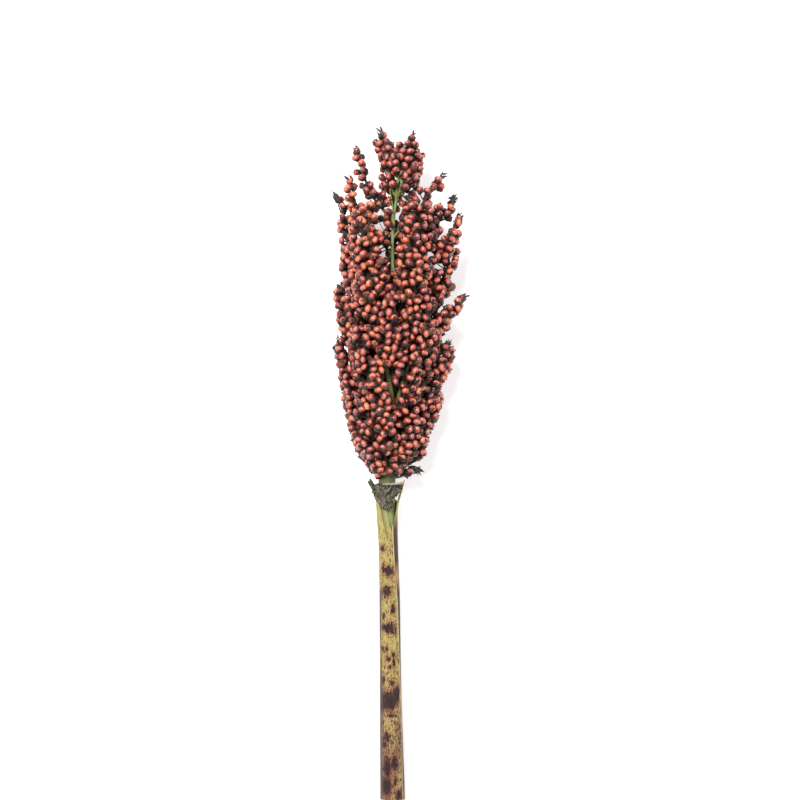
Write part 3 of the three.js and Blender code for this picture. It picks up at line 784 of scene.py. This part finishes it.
def clothe(branch, cluster):
    """Hangs twigs of a few grains each on a branch, then single grains behind them"""
    frames = [branch_frame(branch, k / BRANCH_STEPS) for k in range(BRANCH_STEPS + 1)]
    length = sum((frames[k + 1][0] - frames[k][0]).length for k in range(BRANCH_STEPS))
    middle, onwards, _, _ = frames[BRANCH_STEPS]
    cluster.offer(middle + onwards * 1.2, middle - onwards * 2, branch)

    def offer_at(t, angle, share):
        middle, _, outward, across = frames[min(round(t * BRANCH_STEPS), BRANCH_STEPS)]
        wide, deep = half_sizes(branch, min(t, 1))
        point = (middle + across * (wide * share * math.sin(angle))
                 + outward * (deep * share * math.cos(angle)))
        foot = frames[max(round((t - TWIG_LENGTH / length) * BRANCH_STEPS), 4)][0]
        cluster.offer(point, foot, branch)

    for _ in range(TWIG_DRAWS):
        t = draw.one(CLOTHED_FROM, 1)
        angle = math.radians(draw.spread() * 140)
        share = draw.one(0.8, 1.04)
        side = 1
        for _ in range(GRAINS_ON_TWIG):
            wide = half_sizes(branch, min(t, 1))[0]
            offer_at(t, angle + side * GRAIN_SIDESTEP / max(wide, 2), share)
            t += draw.one(*GRAIN_STEP) / length
            side = -side
            if t > 1.02:
                break
    for _ in range(INNER_DRAWS):
        offer_at(draw.one(CLOTHED_FROM, 1), math.radians(draw.spread() * 160), draw.one(0.35, 0.8))


def fill_between(cluster):
    """Grains between the branches, set back from the outline, each on the nearest branch"""
    lines = KDTree(len(BRANCHES) * (LINE_STEPS + 1))
    places = []
    for branch in BRANCHES:
        for k in range(LINE_STEPS + 1):
            places.append((branch, k / LINE_STEPS))
            lines.insert(branch_point(branch, k / LINE_STEPS), len(places) - 1)
    lines.balance()

    def offer_near(point, furthest):
        _, index, distance = lines.find(point)
        if distance < furthest:
            branch, t = places[index]
            cluster.offer(point, branch_point(branch, max(t - 0.07, 0)), branch)

    for _ in range(CROWN_DRAWS):
        away = draw.direction() * draw.one(0.4, 1)
        offer_near(CROWN_MIDDLE + away * CROWN_SIZE, 9)
    for _ in range(CURTAIN_DRAWS):
        height = draw.one(*CURTAIN_HEIGHTS)
        side = along(LEAN, height) + draw.spread() * CURTAIN_HALF_WIDTH
        offer_near(Vector((side, height, draw.one(*CURTAIN_DEPTHS))), 14)
    for _ in range(FILL_DRAWS):
        height = draw.one(*FILL_HEIGHTS)
        azimuth = draw.one(0, 360)
        reach = along(HEAD_RADIUS, height) - draw.one(*FILL_INSET)
        reach *= 1 - (1 - HEAD_DEPTH_RATIO) * abs(math.sin(math.radians(azimuth)))
        if height < 192:  # close to the stalk at the foot of the head
            reach = draw.one(6.5, 6 + (height - 176) * 0.75)
        if reach > FILL_REACH:
            offer_near(round_axis(height, reach, azimuth), 11)


def settle(grains):
    """Eases apart the grains that sit too close"""
    for _ in range(SETTLE_ROUNDS):
        tree = KDTree(len(grains))
        for i, grain in enumerate(grains):
            tree.insert(grain["place"], i)
        tree.balance()
        for i, grain in enumerate(grains):
            push = Vector()
            for place, j, distance in tree.find_range(grain["place"], SETTLED_SPACING):
                if j != i and distance > 0.01:
                    share = (SETTLED_SPACING - distance) / distance * SETTLE_SHARE
                    push += (grain["place"] - place) * share
            moved = grain["place"] + push
            moved.z = max(moved.z, lowest_depth(moved.y, GRAIN_CLEARANCE))
            if push.length < LONGEST_PUSH and not is_kept_clear(moved):
                grain["place"] = moved


def grown_grains():
    """Every grain: its place, twig's foot, aim, twist, size and tint (ripeness, dullness, fleck)"""
    cluster = Cluster()
    for branch in BRANCHES:
        clothe(branch, cluster)
    fill_between(cluster)
    settle(cluster.grains)
    shades = {id(branch): draw.spread() * 0.16 for branch in BRANCHES}
    for grain in cluster.grains:
        outward = (grain["place"] - grain["foot"]).normalized()
        grain["aim"] = (outward + draw.direction() * 0.75).normalized()
        grain["twist"] = draw.one(0, 2 * math.pi)
        grain["size"] = 1 + draw.spread() * 0.13
        height = grain["place"].y
        ripe = 0.565 + draw.spread() * 0.44
        # Lighter and more orange from the middle of the head up, and much darker at the crown
        ripe += 0.05 * ramp_between(height, 250, 300)
        ripe -= 0.17 * ramp_between(height, 318, 362)
        ripe += shades[id(grain["branch"])]
        dull = draw.one() ** 2 * 0.9
        dull += 0.35 * ramp_between(height, 205, 185)
        dull += 0.3 * ramp_between(height, 330, 362)
        grain["tint"] = (min(max(ripe, 0.05), 0.98), min(dull, 1), draw.one())
    return cluster.grains


TO_FRAME = Matrix.Scale(0.001, 4) @ Matrix.Translation(ORIGIN_SHIFT) @ Matrix.Rotation(REST_SLOPE, 4, "X")


def stand(grain, scale=1.0):
    """The matrix that puts a pattern on a grain's place, its own z along the grain"""
    turn = grain["aim"].to_track_quat("Z", "Y").to_matrix().to_4x4()
    spin = Matrix.Rotation(grain["twist"], 4, "Z")
    size = Matrix.Scale(grain["size"] * scale, 4)
    return TO_FRAME @ Matrix.Translation(grain["place"]) @ turn @ spin @ size


# The patterns, in millimetres, with z towards the tip
RESIZE = bpy.ops.transform.resize
MOVE = bpy.ops.transform.translate


def grain_pattern():
    """One grain: an egg a little flattened, blunt at its foot and pointed at the tip"""
    grain = ball(8, 6, [(lambda co: True, RESIZE, (2.38, 1.7, 1.98)),
                        (lambda co: co.z < -0.9, RESIZE, (0.86, 0.86, 1)),
                        (lambda co: co.z > 1.6, RESIZE, (0.8, 0.8, 1)),
                        (lambda co: co.z > 1.9, MOVE, (0, 0, 0.16))])
    mark_ends(grain, -1.98, 2.14)
    return grain


def glume_pattern():
    """A pair of glumes: pointed scales that clasp the lower half of a grain from two sides"""
    glume = ball(6, 4, [(lambda co: True, RESIZE, (2.0, 0.7, 2.0)),
                        (lambda co: abs(co.x) > 1.1, MOVE, (0, -0.85, 0)),
                        (lambda co: co.z < -1.2, MOVE, (0, -0.95, 0)),
                        (lambda co: co.z > 1.9, MOVE, (0, 0.3, 0.8)),
                        (lambda co: True, MOVE, (0, 1.5, -1.1))])
    twin = linked("twin", glume.data.copy())
    twin.data.transform(Matrix.Rotation(math.radians(172), 4, "Z") @ Matrix.Translation((0, -0.1, -0.2)))
    select(glume, twin)
    bpy.ops.object.join()
    mark_ends(glume, -3.1, 1.7)
    return glume


def scale_pattern():
    """A sterile spikelet: a narrow dry scale, pointed and hollow-backed"""
    return ball(6, 5, [(lambda co: True, RESIZE, (0.85, 0.42, 2.6)),
                       (lambda co: abs(co.x) > 0.6, MOVE, (0, -0.3, 0)),
                       (lambda co: co.z > 1.2, RESIZE, (0.6, 0.6, 1)),
                       (lambda co: co.z > 2.5, MOVE, (0, -0.3, 0.9))])


def scrap_pattern():
    """A papery scrap: a thin twisted strip"""
    bpy.ops.mesh.primitive_cube_add(size=2)
    return shaped(bpy.context.object, [(lambda co: True, RESIZE, (0.38, 0.05, 1.15)),
                                       (lambda co: co.z > 0.5, MOVE, (0.15, 0.35, 0)),
                                       (lambda co: co.z > 0.5, RESIZE, (0.45, 1, 1))])


def build_grains(grains, nodes_of):
    grain_look = grain_finish()
    glume_look = glume_finish()
    grain = grain_pattern()
    glume = glume_pattern()
    for group in ("left", "right", "crown", "front", "back"):
        own = [g for g in grains if g["branch"]["group"] == group]
        piece = copies(grain, [(stand(g), g["tint"]) for g in own])
        placed(piece, "grains_" + group, grain_look, nodes_of[group])
        husks = []
        for g in own:  # they are larger low on the head and smaller high up
            height = g["place"].y
            grown = draw.one(0.96, 1.12) + 0.16 * ramp_between(height, 215, 190)
            grown += 0.04 - 0.1 * ramp_between(height, 265, 310)
            husks.append((stand(g, grown), (draw.one(), draw.one() ** 2, 0)))
        placed(copies(glume, husks), "glumes_" + group, glume_look)
    for pattern in (grain, glume):
        bpy.data.objects.remove(pattern)


# Stems that show in front of the others: (side, height, depth, radius) along each
BARE_STEMS = [
    [(1.8, 212, 6, 1.3), (-0.6, 224, 11, 1.5), (-3.2, 238, 15, 1.3)],
    [(1.8, 214, 7, 1.2), (5.4, 228, 15, 0.95), (10.8, 243, 20, 0.7)],
    [(1.4, 316, 1.5, 0.5), (0.4, 326, 2, 0.4), (-1.6, 337, 2.5, 0.3)],
    [(-2.6, 309, 2, 0.22), (-7, 317, 5, 0.22), (-11.6, 324.5, 7, 0.2)]]
STEM_STEPS = 14
STEM_END = 0.94  # where a branch's own stem ends on its way to the tip
GREEN_FROM = 280  # above this height the stems near the rachis look green


def build_twigs(grains):
    look = twig_finish()
    lines = []
    for branch in BRANCHES:
        line = []
        for k in range(STEM_STEPS + 1):
            t = k / STEM_STEPS * STEM_END
            line.append((branch_point(branch, t), (0.35 + 0.75 * branch["full"]) * (1 - 0.6 * t)))
        lines.append(line)
    stems = rods("branch_stems", lines, 8)
    lines = []
    for grain in grains:
        base = grain["place"] - grain["aim"] * 1.6
        bend = base.lerp(grain["foot"], 0.45) - grain["aim"] * 0.5
        lines.append([(grain["foot"], 0.42), (bend, 0.32), (base, 0.26)])
    twigs = rods("twigs", lines, 4)
    lines = [[(Vector(stop[:3]), stop[3]) for stop in stem] for stem in BARE_STEMS]
    bare = rods("bare_stems", lines, 8)
    mark_none(bare, "depth")
    placed(bare, "bare_stems", look)
    for piece in (stems, twigs):
        # Each point's depth is its share of painted shade: full below GREEN_FROM, and above it full for
        # stems away from the rachis
        values = []
        for vertex in piece.data.vertices:
            height = vertex.co.y * 1000 - ORIGIN_SHIFT.y
            from_axis = abs(vertex.co.x * 1000 - ORIGIN_SHIFT.x - along(LEAN, height))
            values.append(ramp_between(from_axis, 3, 9) if height > GREEN_FROM else 1.0)
        mark(piece, "depth", values)
        placed(piece, piece.name, look)


# Branches whose tips end in a tuft of sterile scales: height of the tip, how many, and their spread
TUFTS = {
    331.1: (22, 0.75), 251.4: (22, 0.8), 282.7: (14, 0.6), 343.8: (5, 0.5), 321: (9, 0.5),
    358.6: (4, 0.45), 341.5: (6, 0.5), 333.3: (8, 0.6), 277.8: (5, 0.5), 311.9: (8, 0.7), 228.8: (9, 0.8),
    368.5: (5, 0.6), 230.5: (6, 0.7), 366: (4, 0.6), 255.2: (7, 0.6), 305.5: (7, 0.6), 184: (12, 0.9)}
SCATTERED_SCALES = 420
SCRAPS = 560
THREADS = 90


def any_of(grains):
    """A grain drawn by chance"""
    return grains[int(draw.one(0, len(grains) - 1))]


def strewn(place, aim, clearance, smallest, largest):
    """The placing of a loose scale or scrap, clear of the surface and turned by chance"""
    place.z = max(place.z, lowest_depth(place.y, clearance))
    one = {"place": place, "aim": aim.normalized(), "twist": draw.one(0, 6.28),
           "size": draw.one(smallest, largest)}
    return stand(one), (0, 0, 0)


def build_strewn(pattern, placings, name, look):
    placed(copies(pattern, placings), name, look)
    bpy.data.objects.remove(pattern)


def build_scales(grains):
    pattern = scale_pattern()
    placings = []
    for branch in BRANCHES:
        count, spread = TUFTS.get(branch["tip"], (0, 0))
        if branch["group"] in ("front", "back"):
            continue
        middle, onwards, outward, _ = branch_frame(branch, 1)
        for _ in range(count):
            aim = onwards + outward * 0.5 + draw.direction() * spread
            place = middle + onwards * draw.one(0, 3.2) + draw.direction() * 1.3
            placings.append(strewn(place, aim, 3.5, 0.7, 1.1))
    for _ in range(SCATTERED_SCALES):
        grain = any_of(grains)
        aim = grain["aim"] + draw.direction() * 0.8
        place = grain["place"] + draw.direction() * 1.5
        placings.append(strewn(place, aim, 3.2, 0.55, 0.85))
    build_strewn(pattern, placings, "sterile_scales", scale_finish())


def build_scraps(grains, look):
    pattern = scrap_pattern()
    placings = []
    for _ in range(SCRAPS):
        grain = any_of(grains)
        out = (grain["aim"] * 0.4 + draw.direction()).normalized()
        aim = out.cross(draw.direction())
        placings.append(strewn(grain["place"] + out * 2.0, aim, 1.6, 0.35, 0.95))
    build_strewn(pattern, placings, "papery_scraps", look)


def build_threads(grains, look):
    """Thin pale awns that stand out between the grains"""
    lines = []
    for _ in range(THREADS):
        grain = any_of(grains)
        out = (grain["aim"] + draw.direction() * 0.7).normalized()
        bent = (out + draw.direction() * 0.7).normalized()
        foot = grain["place"] + out * 0.8
        middle = foot + out * draw.one(1.2, 2.1)
        tip = middle + bent * draw.one(1, 2.3)
        for point in (middle, tip):
            point.z = max(point.z, lowest_depth(point.y, 0.4))
        lines.append([(foot, 0.15), (middle, 0.11), (tip, 0.05)])
    placed(rods("thread_lines", lines, 4), "pale_threads", look)


# The stalk, the sheath and the stub of the leaf
def build_stalk():
    heights = [0, 0.25] + [4 + 6 * k for k in range(58)] + [STALK_TOP]
    line = [(round_axis(h, 0, 0), along(STALK_RADIUS, h)) for h in heights]
    line[0] = (line[0][0], line[0][1] - 0.25)
    placed(rods("stalk_line", [line], 32), "green_stalk", stalk_finish(), ["stalk"], 40)


# The sheath by height: where its free edge lies, how it flares, and how much wider it is than the
# stalk, to both sides and to the right. Its top is by azimuth.
SHEATH_MARGIN = [(0, 36), (32, 30), (65, 30), (109, 40), (135, 54), (170, 60)]
SHEATH_TOP = [(0, 163), (60, 162), (110, 161), (180, 169), (270, 166), (360, 163)]
SHEATH_FLARE = [(145, 0), (170, 0.9)]
SHEATH_WIDER = [(0, 1.1), (29, 0.7), (65, 0.25), (109, 0)]
SHEATH_BULGE = [(0, 0.1), (29, 0.2), (65, 0.5), (109, 1.0), (134, 0.55), (150, 0.4), (170, 0)]
SHEATH_LENGTH = 166
STRIP_WIDTH = 78  # degrees of the inner layer that show beside the free edge
# Corners of the slits at its mouth, and the fibre at its right: (side, height) of each corner, then
# (height, distance from the axis, azimuth, radius) along the fibre
SLITS = [[(-2.4, 142.5), (-9.1, 173), (-5.0, 173)], [(-0.3, 147.5), (-6.6, 173), (5.3, 173)]]
FIBRE = [
    (148, 5.3, 20, 0.3), (156, 5.6, 20, 0.5), (162.5, 6.3, 19, 0.6), (168, 7.8, 17, 0.55),
    (172, 8.9, 16, 0.5), (175.5, 9.8, 15, 0.3)]


def round_line(stops):
    return [(round_axis(*stop[:3]), stop[3]) for stop in stops]


def on_plant(co):
    """A place in the frame, back on the plant: its height, side, depth and azimuth"""
    p = Matrix.Rotation(-REST_SLOPE, 3, "X") @ (co * 1000 - ORIGIN_SHIFT)
    side = p.x - along(LEAN, p.y)
    return p.y, side, p.z, math.degrees(math.atan2(p.z, side)) % 360


def sheath_radius(height, wrap, azimuth):
    climb = 1 - ramp_between(wrap, SHEATH_OVERLAP + 10, 115)
    turned = math.cos(math.radians(azimuth))
    loose = along(SHEATH_WIDER, height) * turned ** 2
    loose += along(SHEATH_BULGE, height) * max(0, turned) ** 2
    return (along(STALK_RADIUS, height) + SHEATH_GAP + climb * (SHEATH_WALL + SHEATH_GAP) + loose
            + along(SHEATH_FLARE, height) + SHEATH_WALL)


def sheath_point(across, up):
    wrap = across * (360 + SHEATH_OVERLAP)
    azimuth = along(SHEATH_MARGIN, up * SHEATH_LENGTH) + wrap
    height = up * (along(SHEATH_TOP, azimuth % 360) + 0.7 * math.sin(azimuth * 0.31) * up ** 8)
    ridge = 0.05 * math.sin(math.radians(azimuth * 27))
    return round_axis(height, sheath_radius(height, wrap, azimuth) + ridge, azimuth)


def cut_slit(piece, corners):
    """Cuts a slit from the front: a three-sided prism whose edges are moved to the corners"""
    bpy.ops.mesh.primitive_cylinder_add(vertices=3, radius=1, depth=2)
    cutter = bpy.context.object
    low = [v for v in cutter.data.vertices if v.co.z < 0]
    high = [v for v in cutter.data.vertices if v.co.z > 0]
    for level, depth in ((low, 1), (high, 13)):
        for vertex, (side, height) in zip(sorted(level, key=lambda v: v.index), corners):
            vertex.co = at((side, height, depth))
    bpy.ops.object.mode_set(mode="EDIT")
    bpy.ops.mesh.select_all(action="SELECT")
    bpy.ops.mesh.normals_make_consistent(inside=False)
    bpy.ops.object.mode_set(mode="OBJECT")
    cut = piece.modifiers.new("slit", "BOOLEAN")
    cut.object = cutter
    cut.operation = "DIFFERENCE"
    select(piece)
    bpy.ops.object.modifier_apply(modifier="slit")
    bpy.data.objects.remove(cutter)


def build_sheath():
    sheath = sheet("leaf_sheath_line", 150, 110, sheath_point, SHEATH_WALL)
    for corners in SLITS:
        cut_slit(sheath, corners)
    strip = []
    edge = []
    for vertex in sheath.data.vertices:
        height, side, depth, azimuth = on_plant(vertex.co)
        beyond = (azimuth - along(SHEATH_MARGIN, height) + 180) % 360 - 180
        outer = sheath_radius(height, 0, azimuth) - SHEATH_WALL - SHEATH_GAP / 2
        under = beyond < 0.4 or math.hypot(side, depth) < outer
        shows = float(under and -STRIP_WIDTH < beyond < SHEATH_OVERLAP + 2)
        strip.append(shows * ramp_between(beyond, -80, -60))
        edge.append(float(not under and beyond < 4))
    mark(sheath, "strip", strip)
    mark(sheath, "edge", edge)
    look = sheath_finish()
    placed(sheath, "rolled_sheath", look, ["leaf_sheath"], 50)
    strand = rods("sheath_fibre", [round_line(FIBRE)], 8)
    mark_none(strand, "strip", "edge")
    placed(strand, "sheath_fibre", look)


# The stub of the leaf by azimuth: its distance from the axis, and the heights of its foot and head
STUB_WALL = 0.9
STUB_START = 30
STUB_END = 186
STUB_RADIUS = [(30, 8.9), (60, 8), (100, 7.3), (150, 7.2), (186, 7.2)]
STUB_FOOT = [
    (30, 170.6), (40, 169.3), (51, 167.2), (63, 164.6), (69, 160.4), (95, 159.8), (118, 162),
    (138, 164.7), (165, 168.5), (186, 170)]
STUB_HEAD = [(30, 174.2), (60, 173.8), (120, 173.6), (150, 172.6), (186, 171.4)]
# Its scraps that stand out to the left: (height, distance from the axis, azimuth, radius) along each
LEAF_SCRAP = [
    (169, 6.6, 178, 0.7), (171, 7.5, 175, 1.2), (172.8, 8.4, 173, 1.4), (174.5, 9, 171, 1.05),
    (176.4, 9.6, 170, 0.3)]
FRAYED_SCRAP = [(171.6, 8, 172, 0.6), (173.6, 9.6, 170, 0.9), (175.2, 10.9, 168, 0.25)]


def stub_point(across, up):
    azimuth = STUB_START + (STUB_END - STUB_START) * across
    torn = 0.3 * math.sin(azimuth * 0.7) + 0.25 * math.sin(azimuth * 1.9 + 1)
    foot = along(STUB_FOOT, azimuth) + torn + 0.3 * math.sin(azimuth * 3.1)
    head = along(STUB_HEAD, azimuth) + torn
    fanned = azimuth + 24 * up  # the ribs fan out to the right
    rib = 0.17 * math.sin(math.radians(fanned * 24)) + 0.14 * math.sin(math.radians(fanned * 11))
    curl = 0.5 * up ** 4
    radius = along(STUB_RADIUS, azimuth) + STUB_WALL + rib + curl
    return round_axis(foot + (head - foot) * up, radius, azimuth)


def build_stub():
    look = stub_finish()
    stub = sheet("leaf_stub_line", 110, 18, stub_point, STUB_WALL)
    worn = []
    for vertex in stub.data.vertices:
        height, _, _, azimuth = on_plant(vertex.co)
        from_top = along(STUB_HEAD, azimuth) - height
        worn.append(1 - ramp_between(from_top, 0.2, 1.3))
    mark(stub, "worn", worn)
    placed(stub, "torn_leaf_stub", look, ["flag_leaf_stub"], 50)
    torn = rods("leaf_scrap", [round_line(LEAF_SCRAP), round_line(FRAYED_SCRAP)], 10)
    mark_none(torn, "worn")
    placed(torn, "leaf_scrap", look)


# Floor, light and camera
PHOTO_WIDTH = 440  # millimetres across the photograph, at the stalk
PHOTO_MIDDLE = (4.4, 219.5, 0)
CAMERA_DISTANCE = 1.6
SENSOR_WIDTH = 36
WORLD_STRENGTH = 0.45
# Name, place, size and power of each lamp, which points at the origin
LAMPS = [("key", (-0.3, 0.4, 1.15), 0.36, 19), ("fill", (0.6, -0.2, 1.1), 0.9, 3)]


def light_studio():
    bpy.ops.mesh.primitive_grid_add(x_subdivisions=4, y_subdivisions=4, size=8)
    floor = bpy.context.object
    finished(floor, "floor", floor_finish())
    world = bpy.data.worlds.new("studio")
    world.use_nodes = True
    background = world.node_tree.nodes["Background"]
    background.inputs["Color"].default_value = (1, 1, 1, 1)
    background.inputs["Strength"].default_value = WORLD_STRENGTH
    bpy.context.scene.world = world
    for name, place, size, power in LAMPS:
        lamp = bpy.data.lights.new(name, "AREA")
        lamp.size = size
        lamp.energy = power
        holder = linked(name, lamp)
        holder.location = place
        holder.rotation_euler = (-Vector(place)).to_track_quat("-Z", "Y").to_euler()


def set_camera():
    data = bpy.data.cameras.new("camera")
    data.sensor_width = SENSOR_WIDTH
    data.lens = SENSOR_WIDTH * CAMERA_DISTANCE * 1000 / PHOTO_WIDTH
    camera = linked("camera", data)
    up_from_plant = Matrix.Rotation(REST_SLOPE, 3, "X") @ Vector((0, 0, 1))
    camera.location = at(PHOTO_MIDDLE) + up_from_plant * CAMERA_DISTANCE
    camera.rotation_euler = (REST_SLOPE, 0, 0)
    bpy.context.scene.camera = camera
    bpy.context.scene.view_settings.view_transform = "Standard"


nodes_of = {}
packed_branches = [branch for branch in BRANCHES if branch not in CROWN_EXTRAS]
for number, branch in enumerate(packed_branches):
    nodes_of.setdefault(branch["group"], []).append(f"seed_branch_{number + 1:02d}")
grains = grown_grains()
build_grains(grains, nodes_of)
build_twigs(grains)
build_scales(grains)
paper = paper_finish()
build_scraps(grains, paper)
build_threads(grains, paper)
build_stalk()
build_sheath()
build_stub()
light_studio()
set_camera()
